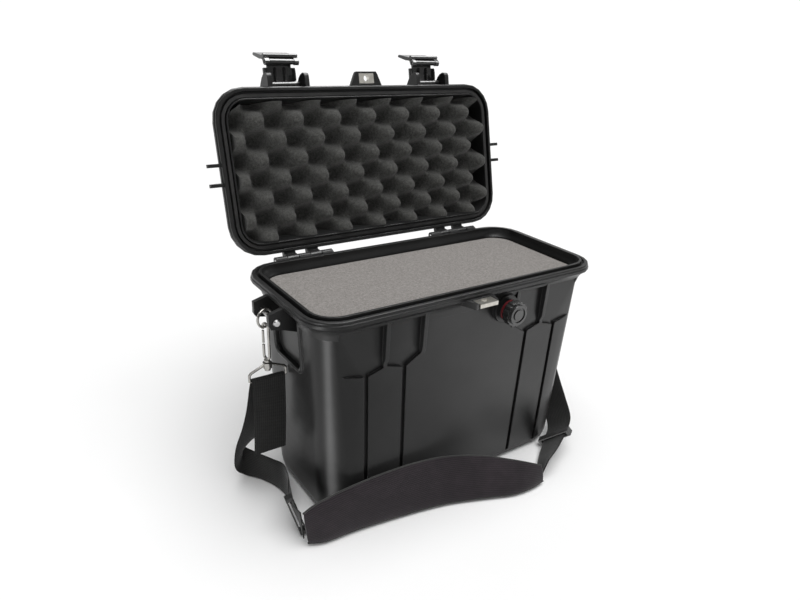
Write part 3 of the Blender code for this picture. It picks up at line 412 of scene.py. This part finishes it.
def make_lid_foam(finishes):
    bm = bmesh.new()
    bmesh.ops.create_grid(bm, x_segments=LID_FOAM_COLUMNS, y_segments=LID_FOAM_ROWS, size=0.5)
    for vert in bm.verts:
        share_x, share_y = vert.co.x * 2, vert.co.y * 2
        x, y = share_x * LID_FOAM_HALF_X, share_y * LID_FOAM_HALF_Y
        x, y = into_corner(x, y, LID_FOAM_HALF_X, LID_FOAM_HALF_Y)
        vert.co = Vector((x, y, peak_height(x, y))) * MM
    narrow_x, narrow_y = LID_FOAM_BACK_X / LID_FOAM_HALF_X, LID_FOAM_BACK_Y / LID_FOAM_HALF_Y
    grown = bmesh.ops.extrude_face_region(bm, geom=bm.faces[:])["geom"]
    for item in grown:
        if isinstance(item, bmesh.types.BMVert):
            item.co = Vector((item.co.x * narrow_x, item.co.y * narrow_y, LID_FOAM_BACK * MM))
    foam = finish_mesh("lid_foam_sheet", bm, finishes["lid_foam"])
    open_lid(foam)
    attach(foam, "lid")
    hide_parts("lid_foam")


# Strap and pad

def catmull_rom(before, start, end, after, share):
    return 0.5 * (
        2 * start + (end - before) * share
        + (2 * before - 5 * start + 4 * end - after) * share**2
        + (3 * start - before - 3 * end + after) * share**3
    )


def smooth_stations(stations, steps):
    rows = [Vector((*centre, *(Vector(across).normalized() * width))) for centre, across, width in stations]
    rows = [2 * rows[0] - rows[1]] + rows + [2 * rows[-1] - rows[-2]]
    result = []
    for i in range(1, len(rows) - 2):
        for step in range(steps):
            result.append(catmull_rom(*rows[i - 1:i + 3], step / steps))
    result.append(rows[-2])
    return [(Vector(row[:3]), Vector(row[3:])) for row in result]


def strap_solid(name, stations, section, material, steps):
    """A section of (share of width, height) points carried along the stations, with UVs in millimetres."""
    rows = smooth_stations(stations, steps)
    bm = bmesh.new()
    uv = bm.loops.layers.uv.new("cloth")
    loops, lengths, run = [], [], 0.0
    for i, (centre, across) in enumerate(rows):
        if i:
            run += (centre - rows[i - 1][0]).length
        lengths.append(run)
        ahead = rows[min(i + 1, len(rows) - 1)][0] - rows[max(i - 1, 0)][0]
        normal = ahead.cross(across).normalized()
        points = section(i / (len(rows) - 1))
        loops.append([bm.verts.new((centre + across * share + normal * rise) * MM) for share, rise in points])
    shares = [share for share, _ in section(0.5)]
    for i, (low, high) in enumerate(zip(loops, loops[1:])):
        for j in range(len(low)):
            k = (j + 1) % len(low)
            face = bm.faces.new((low[j], low[k], high[k], high[j]))
            corners = ((i, j), (i, k), (i + 1, k), (i + 1, j))
            for loop, (row, column) in zip(face.loops, corners):
                loop[uv].uv = (lengths[row], shares[column] * rows[row][1].length)
    for end in (loops[0], loops[-1]):
        bm.faces.new(end)
    return finish_mesh(name, bm, material, 60), run


def webbing_section(share_along):
    """A thin band with rounded selvedges, slightly cupped."""
    half = WEBBING_THICKNESS / 2
    over = [(-0.5, 0), (-0.49, 0.6), (-0.46, 1), (-0.3, 0.92), (0, 0.86)]
    over += [(-share, rise) for share, rise in reversed(over[:-1])]
    top = [(share, rise * half) for share, rise in over]
    return top + [(share, -rise * half) for share, rise in reversed(over[1:-1])]


def hanging_stations(side, steps=5):
    """The doubled webbing: up the front, round the loop's bar, and down the back."""
    wide = WEBBING_WIDTH
    x = side * (LUG_X + 0.2)
    radius = LOOP_WIRE + 0.5 + WEBBING_THICKNESS / 2
    stations = [
        ((x + side * 3, HANGER_Y - 3.4, 68), (1, 0, 0), wide),
        ((x + side, HANGER_Y - 3.6, 110), (1, 0, 0), wide),
        ((x, HANGER_Y - radius, 150), (1, 0, 0), wide),
    ]
    for step in range(steps + 1):
        angle = math.pi * (1 - step / steps)
        y, z = HANGER_Y + radius * math.cos(angle), LOOP_BAR_Z + radius * math.sin(angle)
        stations.append(((x, y, z), (1, 0, 0), wide))
    return stations


def left_stations():
    wide = WEBBING_WIDTH
    return hanging_stations(-1) + [
        ((-208, 12.5, 148), (1, 0, 0), wide), ((-210, 20, 120), (1, 0.05, 0), wide),
        ((-213, 32, 90), (1, 0.1, 0.05), wide), ((-219, 48, 58), (0.95, 0.25, 0.2), wide),
        ((-224, 62, 33), (0.6, 0.45, 0.66), wide), ((-221, 61, 22.5), (0.1, 0.25, 0.96), wide),
        ((-209, 43, 20.5), (0, 0.05, 1), wide), ((-199, 22, 20.5), (0, 0.1, 1), wide),
        ((-194, 4, 20.5), (0.1, 0.3, 0.95), wide), ((-197, -20, 20.5), (0, 0.3, 0.95), wide),
        ((-205, -44, 22.5), (-0.2, 0.25, 0.95), wide), ((-211, -64, 25.8), (-0.25, 0.2, 0.95), wide),
        ((-213, -84, 26), (-0.08, 0, 1), wide),
    ]


def right_stations():
    wide = WEBBING_WIDTH
    return hanging_stations(1) + [
        ((206, 11.5, 148), (1, 0, 0), wide), ((205.5, 4, 120), (1, -0.1, 0), wide),
        ((204, -10, 90), (0.9, -0.4, 0), wide), ((200, -30, 62), (0.6, -0.75, 0.25), wide),
        ((192, -57, 40), (0.42, -0.66, 0.62), wide), ((174, -87, 28), (0.4, -0.66, 0.64), wide),
        ((151, -103, 22), (0.31, -0.7, 0.65), wide), ((127, -118, 19.5), (0.3, -0.6, 0.72), wide),
        ((109, -130, 18.5), (0.34, -0.45, 0.8), wide * 0.92),
        ((96, -141, 16.5), (0.2, -0.15, 0.97), wide * 0.74),
    ]


def make_webbing(finishes):
    cloth = finishes["webbing"]
    for side, stations in (("left", left_stations()), ("right", right_stations())):
        strap, length = strap_solid(f"strap_{side}", stations, webbing_section, cloth, STRAP_STEPS)
        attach(strap, "case_base")
        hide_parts(f"webbing_{side}")


def pad_edges():
    return [
        ((-210, -90, 5), (-214, -89, 46)), ((-192, -97, 4.5), (-198, -88, 51)),
        ((-157, -99, 4.5), (-166, -88.5, 56)), ((-124, -103, 4.5), (-134, -89.5, 58.5)),
        ((-97, -107, 4.5), (-104, -90, 58.5)), ((-68, -112, 4.5), (-71, -91, 57)),
        ((-35, -120, 4.5), (-31, -95, 52.5)), ((7, -136, 4.5), (12, -110, 47)),
        ((38, -148, 4.5), (44, -127, 40)), ((64, -151, 4.5), (67, -138, 33)), ((86, -149, 5), (86, -144, 25)),
    ]


def pad_section(share_along):
    """Full in the middle, drawn in to the bound edges and towards both ends."""
    fill = min(1.0, 0.45 + 4 * min(share_along, 1 - share_along))
    over = [(-0.5, 0.18), (-0.47, 0.42), (-0.4, 0.75), (-0.25, 0.97), (0, 1.05)]
    over += [(-share, rise) for share, rise in reversed(over[:-1])]
    half = PAD_THICKNESS / 2 * fill
    top = [(share, rise * half) for share, rise in over]
    return top + [(share, -rise * half * 0.9) for share, rise in reversed(over)]


def make_pad(finishes):
    stations = []
    for low, high in pad_edges():
        low, high = Vector(low), Vector(high)
        stations.append(((low + high) / 2, high - low, (high - low).length))
    pad, _ = strap_solid("shoulder_pad_cover", stations, pad_section, finishes["pad_fabric"], PAD_STEPS)
    rounding = pad.modifiers.new("rounding", "SUBSURF")
    rounding.levels = 1
    rounding.render_levels = 1
    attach(pad, "case_base")
    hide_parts("shoulder_pad")
    for which, label in ((0, "lower"), (1, "upper")):
        make_binding(f"pad_binding_{label}", [edge[which] for edge in pad_edges()], finishes["pad_binding"])


def binding_section(share_along, sides=10):
    """A round roll of tape, the same all along."""
    turns = [2 * math.pi * step / sides for step in range(sides)]
    return [(0.5 * math.cos(turn), 0.5 * BINDING_FULLNESS * PAD_EDGE * math.sin(turn)) for turn in turns]


def make_binding(name, points, material):
    """A folded tape that covers one long edge of the pad."""
    stations = [(point, (0, 0, 1), PAD_EDGE) for point in points]
    binding, _ = strap_solid(name, stations, binding_section, material, PAD_STEPS)
    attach(binding, "case_base")
    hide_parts("shoulder_pad")


# Stage, light and camera

def make_stage():
    bm = bmesh.new()
    rings = []
    turns = [2 * math.pi * step / SWEEP_SIDES for step in range(SWEEP_SIDES)]
    for radius in SWEEP_RINGS:
        rise = SWEEP_RISE * max(0, (radius - SWEEP_FLAT) / (SWEEP_EDGE - SWEEP_FLAT)) ** 2
        rings.append([bm.verts.new((radius * math.cos(a), radius * math.sin(a), rise)) for a in turns])
    for low, high in zip(rings, rings[1:]):
        bridge(bm, low, high)
    bm.faces.new(rings[0])
    graph = Graph("studio_floor", Roughness=0.9, Specular_IOR_Level=0.05)
    tone = graph.ramp(graph.noise(3, detail=2), 0.3, 0.7)
    graph.colour(graph.mix(tone, (0.93, 0.93, 0.93, 1), (0.95, 0.95, 0.95, 1)))
    floor = finish_mesh("studio_floor", bm, graph.material)


def add_light(name, place, aim, size, power, lit):
    """A rectangular light for one collection only, so the floor neither blocks nor shows it."""
    light = bpy.data.lights.new(name, "AREA")
    light.shape = "RECTANGLE"
    light.size, light.size_y = size
    light.energy = power
    lamp = bpy.data.objects.new(name, light)
    lamp.location = place
    lamp.rotation_euler = (Vector(aim) - Vector(place)).to_track_quat("-Z", "Y").to_euler()
    lamp.light_linking.receiver_collection = lit
    lamp.light_linking.blocker_collection = lit
    bpy.context.scene.collection.objects.link(lamp)


def plastic_pieces(finishes):
    """The hard black pieces, which show the strip lights as reflections."""
    lit = bpy.data.collections.new("strip_lit")
    glossy = [finishes[name] for name in GLOSSY_FINISHES]
    for node in frame["nodes"].values():
        if node.data.materials[0] in glossy:
            lit.objects.link(node)
    return lit


def add_sun(name, heading, tilt, strength, spread):
    """A broad even light that keeps the floor white out to the horizon."""
    sun = bpy.data.lights.new(name, "SUN")
    sun.energy = strength
    sun.angle = math.radians(spread)
    lamp = bpy.data.objects.new(name, sun)
    lamp.rotation_euler = (math.radians(tilt), 0, math.radians(heading))
    bpy.context.scene.collection.objects.link(lamp)


def make_light(finishes):
    world = bpy.data.worlds.new("studio")
    world.use_nodes = True
    world.node_tree.nodes["Background"].inputs["Color"].default_value = (1, 1, 1, 1)
    world.node_tree.nodes["Background"].inputs["Strength"].default_value = SKY_STRENGTH
    bpy.context.scene.world = world
    add_sun("overhead_sun", OVERHEAD_HEADING, OVERHEAD_TILT, OVERHEAD_STRENGTH, OVERHEAD_SPREAD)
    lit = plastic_pieces(finishes)
    for strip in STRIP_LIGHTS:
        add_light(*strip, lit)


def make_camera():
    aim = CAMERA_AIM.normalized()
    level = aim.cross(Vector((0, 0, 1))).normalized()
    rise = level.cross(aim)
    right = level * math.cos(CAMERA_ROLL) + rise * math.sin(CAMERA_ROLL)
    up = rise * math.cos(CAMERA_ROLL) - level * math.sin(CAMERA_ROLL)
    data = bpy.data.cameras.new("camera")
    data.lens = CAMERA_LENS
    data.shift_x, data.shift_y = CAMERA_SHIFT
    camera = bpy.data.objects.new("camera", data)
    camera.matrix_world = Matrix.Translation(CAMERA_PLACE) @ Matrix((right, up, -aim)).transposed().to_4x4()
    bpy.context.scene.collection.objects.link(camera)
    bpy.context.scene.camera = camera
    bpy.context.scene.view_settings.view_transform = "Standard"


finishes = make_finishes()
paint_cad_nodes(finishes)
make_case_foam(finishes)
make_lid_foam(finishes)
make_webbing(finishes)
make_pad(finishes)
make_stage()
make_light(finishes)
make_camera()
